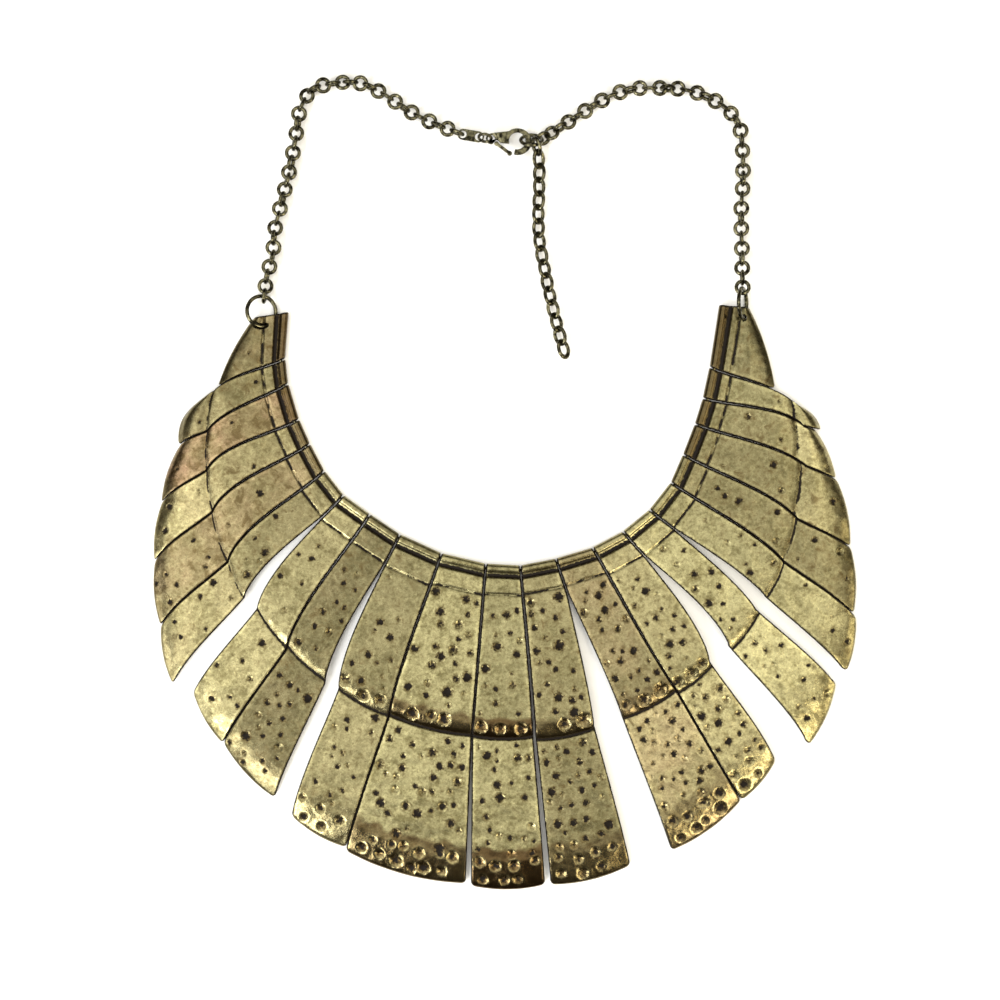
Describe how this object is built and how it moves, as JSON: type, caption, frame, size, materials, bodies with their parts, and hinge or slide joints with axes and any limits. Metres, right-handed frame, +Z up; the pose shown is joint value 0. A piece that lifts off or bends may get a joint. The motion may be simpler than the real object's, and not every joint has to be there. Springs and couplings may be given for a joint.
{
  "type": "bib necklace",
  "caption": "Bib necklace of hammered antiqued brass plates fanned on a beaded neckline, with rolo chain, lobster clasp and extender, lying flat.",
  "frame": {"origin": "middle of the footprint, on the surface that the necklace lies on", "axes": "+Z up out of the face of the plates, +Y from the lowest plates towards the clasp, +X to the viewer's right when looking down on the face"},
  "size_m": [0.1908, 0.2208, 0.0087],
  "materials": {
    "plate_brass": "hammered antique brass, dark patina in pits and grooves",
    "chain_metal": "dark antiqued gun-brass wire"
  },
  "bodies": {
    "necklace": {"plate_01_end": "plate_brass", "plate_02": "plate_brass", "plate_03": "plate_brass", "plate_04": "plate_brass", "plate_05": "plate_brass", "plate_06": "plate_brass", "plate_07": "plate_brass", "plate_08": "plate_brass", "plate_09": "plate_brass", "plate_10": "plate_brass", "plate_11_centre": "plate_brass", "plate_12": "plate_brass", "plate_13": "plate_brass", "plate_14": "plate_brass", "plate_15": "plate_brass", "plate_16": "plate_brass", "plate_17": "plate_brass", "plate_18": "plate_brass", "plate_19": "plate_brass", "plate_20": "plate_brass", "plate_21_end": "plate_brass", "stringing_wire": "chain_metal", "jump_ring_left": "chain_metal", "jump_ring_right": "chain_metal", "chain_left_1": "chain_metal", "chain_left_2": "chain_metal", "chain_left_3": "chain_metal", "chain_right_1": "chain_metal", "chain_right_2": "chain_metal", "chain_right_3": "chain_metal", "extender": "chain_metal", "connector_tab": "chain_metal", "swivel_ring": "chain_metal", "clasp_body": "chain_metal", "clasp_ring": "chain_metal"},
    "clasp_lever": {"clasp_lever": "chain_metal"}
  },
  "joints": [
    {"name": "clasp_lever_hinge", "type": "hinge", "parent": "necklace", "child": "clasp_lever", "pos_m": [-0.0023, 0.0909, 0.00255], "axis": [0, 0, 1], "range_deg": [0, 10], "stiffness_Nm_per_rad": 0.005, "springref_deg": -11.46}
  ]
}
